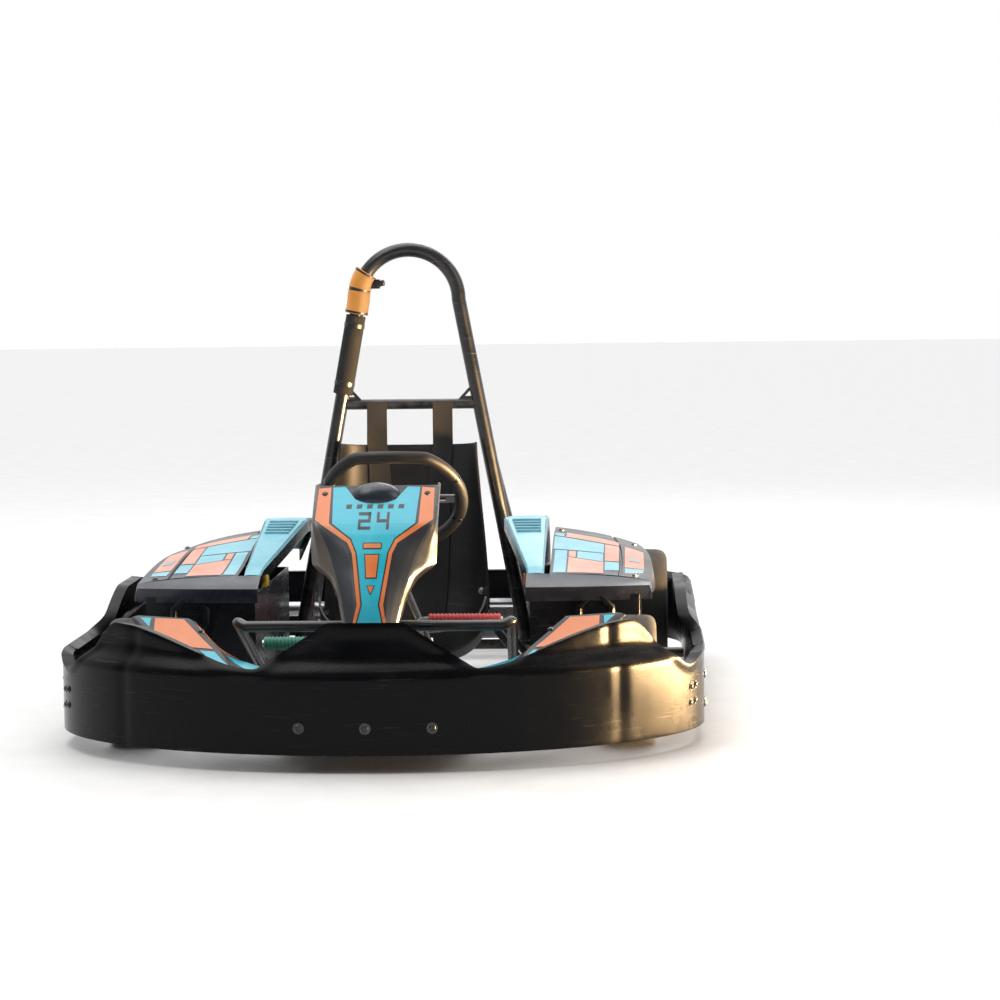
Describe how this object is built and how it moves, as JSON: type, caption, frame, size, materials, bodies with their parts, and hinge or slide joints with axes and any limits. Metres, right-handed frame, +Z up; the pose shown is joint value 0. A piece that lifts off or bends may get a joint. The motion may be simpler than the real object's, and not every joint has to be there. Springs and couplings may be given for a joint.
{
  "type": "electric racing kart",
  "caption": "Low rental-style electric racing kart with wrap-around bumper, steered front wheels, chain-driven rear axle, bucket seat, battery pods and roll hoop.",
  "frame": {"origin": "on the ground under the middle of the overall box", "axes": "+Y from the nose to the tail, +X to the driver's left, +Z up"},
  "size_m": [1.32, 1.8, 1.026],
  "materials": {
    "bumper_plastic": "rotomoulded black, semi-gloss with scuffs",
    "frame_paint": "black powder coat",
    "tray_alloy": "brushed sheet",
    "livery_orange": "orange and cyan film on dark plastic",
    "livery_cyan": "cyan and orange film on dark plastic",
    "dark_plastic": "moulded dark grey",
    "battery_case": "folded case",
    "seat_plastic": "moulded dark grey shell",
    "webbing": "black woven webbing",
    "buckle_red": "red moulded",
    "pad_orange": "orange wrap with dark straps",
    "foam_black": "closed-cell foam",
    "tyre_rubber": "slick tread",
    "rim_alloy": "cast, satin",
    "machined_steel": "zinc plated and machined",
    "cast_alloy": "cast and machined",
    "motor_paint": "dark cast case",
    "caliper_red": "red anodised",
    "grip_rubber": "soft black grip",
    "sleeve_red": "ribbed red rubber",
    "sleeve_green": "ribbed green rubber"
  },
  "bodies": {
    "chassis": {"brake_caliper": "caliper_red", "brake_cylinder": "cast_alloy", "chassis_frame": "frame_paint", "drive_chain": "machined_steel", "drive_motor": "motor_paint", "floor_tray": "tray_alloy", "foot_guard": "frame_paint", "front_bumper": "bumper_plastic", "front_fairing": "livery_orange", "harness_buckle": "buckle_red", "hoop_foam": "foam_black", "hoop_pad": "pad_orange", "left_axle_bearing": "cast_alloy", "left_battery_box": "dark_plastic", "left_battery_pack": "battery_case", "left_bumper": "bumper_plastic", "left_hip_cover": "livery_cyan", "left_kingpin": "machined_steel", "left_pod_cover": "livery_cyan", "left_shoulder_belt": "webbing", "motor_controller": "cast_alloy", "pedal_shaft": "machined_steel", "rear_bumper": "bumper_plastic", "right_axle_bearing": "cast_alloy", "right_battery_box": "dark_plastic", "right_battery_pack": "battery_case", "right_bumper": "bumper_plastic", "right_hip_cover": "livery_cyan", "right_kingpin": "machined_steel", "right_pod_cover": "livery_cyan", "right_shoulder_belt": "webbing", "roll_hoop": "frame_paint", "seat_shell": "seat_plastic", "steering_fairing": "livery_cyan", "steering_support": "frame_paint", "throttle_sensor": "dark_plastic"},
    "steering": {"steering_shaft": "machined_steel", "steering_hub": "cast_alloy", "steering_wheel": "grip_rubber"},
    "left_steer_knuckle": {"left_spindle": "machined_steel"},
    "right_steer_knuckle": {"right_spindle": "machined_steel"},
    "left_rod": {"left_tie_rod": "machined_steel"},
    "right_rod": {"right_tie_rod": "machined_steel"},
    "left_front_wheel": {"left_front_tyre": "tyre_rubber", "left_front_rim": "rim_alloy"},
    "right_front_wheel": {"right_front_tyre": "tyre_rubber", "right_front_rim": "rim_alloy"},
    "rear_wheels": {"rear_axle": "machined_steel", "left_rear_tyre": "tyre_rubber", "left_rear_rim": "rim_alloy", "right_rear_tyre": "tyre_rubber", "right_rear_rim": "rim_alloy", "rear_sprocket": "machined_steel", "brake_disc": "machined_steel"},
    "motor_drive": {"motor_sprocket": "machined_steel"},
    "brake": {"brake_pedal": "machined_steel", "brake_sleeve": "sleeve_red"},
    "throttle": {"throttle_pedal": "machined_steel", "throttle_sleeve": "sleeve_green"},
    "brake_push_rod": {"brake_rod": "machined_steel"}
  },
  "joints": [
    {"name": "steering_turn", "type": "hinge", "parent": "chassis", "child": "steering", "pos_m": [0, -0.142, 0.467], "axis": [0, 0.7431, 0.6691], "range_deg": [-55, 55]},
    {"name": "left_kingpin_turn", "type": "hinge", "parent": "chassis", "child": "left_steer_knuckle", "pos_m": [0.395, -0.5, 0.127], "axis": [0, 0, 1], "range_deg": [-22, 22]},
    {"name": "left_rod_turn", "type": "hinge", "parent": "left_steer_knuckle", "child": "left_rod", "pos_m": [0.377, -0.4, 0.102], "axis": [0, 0, 1], "range_deg": [-22, 22]},
    {"name": "left_front_roll", "type": "hinge", "parent": "left_steer_knuckle", "child": "left_front_wheel", "pos_m": [0.5, -0.5, 0.127], "axis": [1, 0, 0], "continuous": true},
    {"name": "right_kingpin_turn", "type": "hinge", "parent": "chassis", "child": "right_steer_knuckle", "pos_m": [-0.395, -0.5, 0.127], "axis": [0, 0, 1], "range_deg": [-22, 22]},
    {"name": "right_rod_turn", "type": "hinge", "parent": "right_steer_knuckle", "child": "right_rod", "pos_m": [-0.377, -0.4, 0.102], "axis": [0, 0, 1], "range_deg": [-22, 22]},
    {"name": "right_front_roll", "type": "hinge", "parent": "right_steer_knuckle", "child": "right_front_wheel", "pos_m": [-0.5, -0.5, 0.127], "axis": [1, 0, 0], "continuous": true},
    {"name": "axle_roll", "type": "hinge", "parent": "chassis", "child": "rear_wheels", "pos_m": [0, 0.58, 0.14], "axis": [1, 0, 0], "continuous": true},
    {"name": "motor_spin", "type": "hinge", "parent": "chassis", "child": "motor_drive", "pos_m": [-0.045, 0.455, 0.205], "axis": [1, 0, 0], "continuous": true},
    {"name": "brake_press", "type": "hinge", "parent": "chassis", "child": "brake", "pos_m": [0.155, -0.555, 0.0932], "axis": [1, 0, 0], "range_deg": [0, 20], "stiffness_Nm_per_rad": 6, "springref_deg": -22.92},
    {"name": "throttle_press", "type": "hinge", "parent": "chassis", "child": "throttle", "pos_m": [-0.165, -0.555, 0.0932], "axis": [1, 0, 0], "range_deg": [0, 24], "stiffness_Nm_per_rad": 5, "springref_deg": -22.92},
    {"name": "brake_rod_push", "type": "slide", "parent": "chassis", "child": "brake_push_rod", "axis": [0, -1, 0], "range_m": [0, 0.0155]}
  ],
  "couplings": [
    {"joint": "left_kingpin_turn", "follows": "steering_turn", "ratio": 0.4},
    {"joint": "left_rod_turn", "follows": "steering_turn", "ratio": -0.4},
    {"joint": "right_kingpin_turn", "follows": "steering_turn", "ratio": 0.4},
    {"joint": "right_rod_turn", "follows": "steering_turn", "ratio": -0.4},
    {"joint": "motor_spin", "follows": "axle_roll", "ratio": 2.5},
    {"joint": "brake_rod_push", "follows": "brake_press", "m_per_rad": 0.0438}
  ]
}
